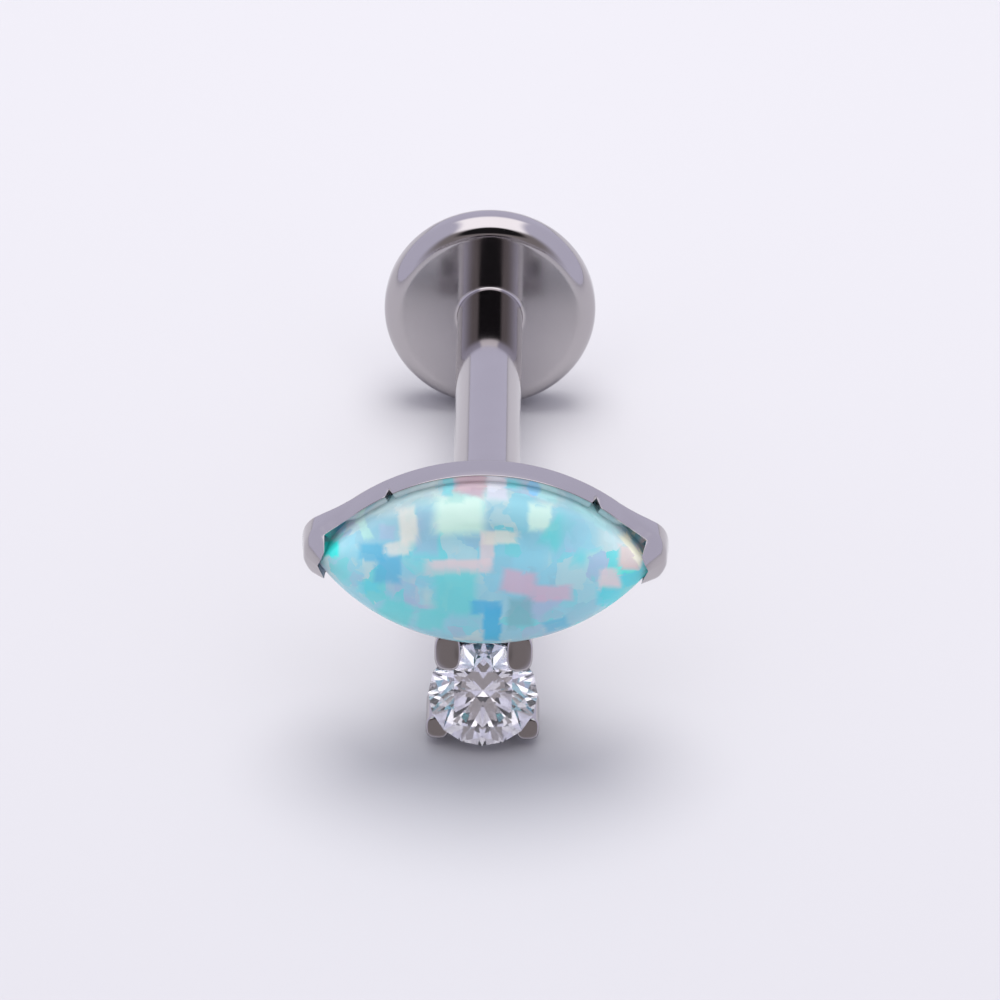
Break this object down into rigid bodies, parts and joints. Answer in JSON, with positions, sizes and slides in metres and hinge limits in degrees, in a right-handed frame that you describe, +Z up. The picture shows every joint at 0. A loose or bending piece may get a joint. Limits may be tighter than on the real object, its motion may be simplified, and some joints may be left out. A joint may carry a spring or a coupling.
{
  "type": "flat back stud",
  "caption": "Flat back stud: a smooth disc and post whose push-fit head holds a marquise opal cabochon in a tip-claw setting over a small round brilliant in a claw basket.",
  "frame": {"origin": "on the surface the stud rests on, below the middle of its box", "axes": "+Z up, the stones face -Y and lean up a little, the flat back disc is at +Y, +X runs along the marquise"},
  "size_m": [0.0066, 0.0118, 0.0056],
  "materials": {
    "titanium": "polished titanium, soft grey mirror",
    "opal": "polished synthetic opal, pale blue with patches of turquoise, green, blue and pink",
    "clear_stone": "clear faceted cubic zirconia"
  },
  "bodies": {
    "root": {"flat_back_post": "titanium", "setting": "titanium", "opal": "opal", "round_stone": "clear_stone"}
  },
  "joints": []
}
